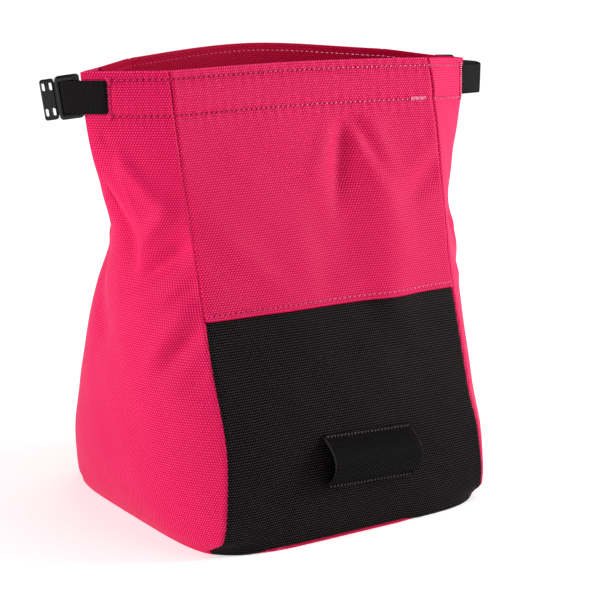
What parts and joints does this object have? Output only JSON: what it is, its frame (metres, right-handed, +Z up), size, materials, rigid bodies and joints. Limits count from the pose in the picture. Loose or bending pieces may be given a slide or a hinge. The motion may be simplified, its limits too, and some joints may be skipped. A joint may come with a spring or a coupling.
{
  "type": "climbing chalk bucket",
  "caption": "Free-standing cloth chalk bucket with a square base, gusseted sides, a wide hemmed mouth, a webbing strap with side-release buckle halves and a brush loop.",
  "frame": {"origin": "middle of the base, on the surface the bag stands on", "axes": "+X to the right along the front, towards the right corner of the mouth; +Y from the front to the back; +Z up out of the mouth"},
  "size_m": [0.3499, 0.2318, 0.3178],
  "materials": {
    "pink_cloth": "heavy woven polyester, pink",
    "dark_pink_cloth": "back of the woven cloth, darker pink",
    "black_cloth": "heavy woven polyester, black",
    "black_webbing": "ribbed webbing, black",
    "black_plastic": "moulded acetal, satin black"
  },
  "bodies": {
    "root": {"front_upper_panel": "pink_cloth", "front_lower_panel": "black_cloth", "back_panel": "pink_cloth", "left_gusset": "pink_cloth", "right_gusset": "pink_cloth", "base_panel": "pink_cloth", "front_casing": "dark_pink_cloth", "back_casing": "dark_pink_cloth", "closure_strap": "black_webbing", "left_buckle_half": "black_plastic", "right_buckle_half": "black_plastic", "brush_loop": "black_cloth"}
  },
  "joints": []
}
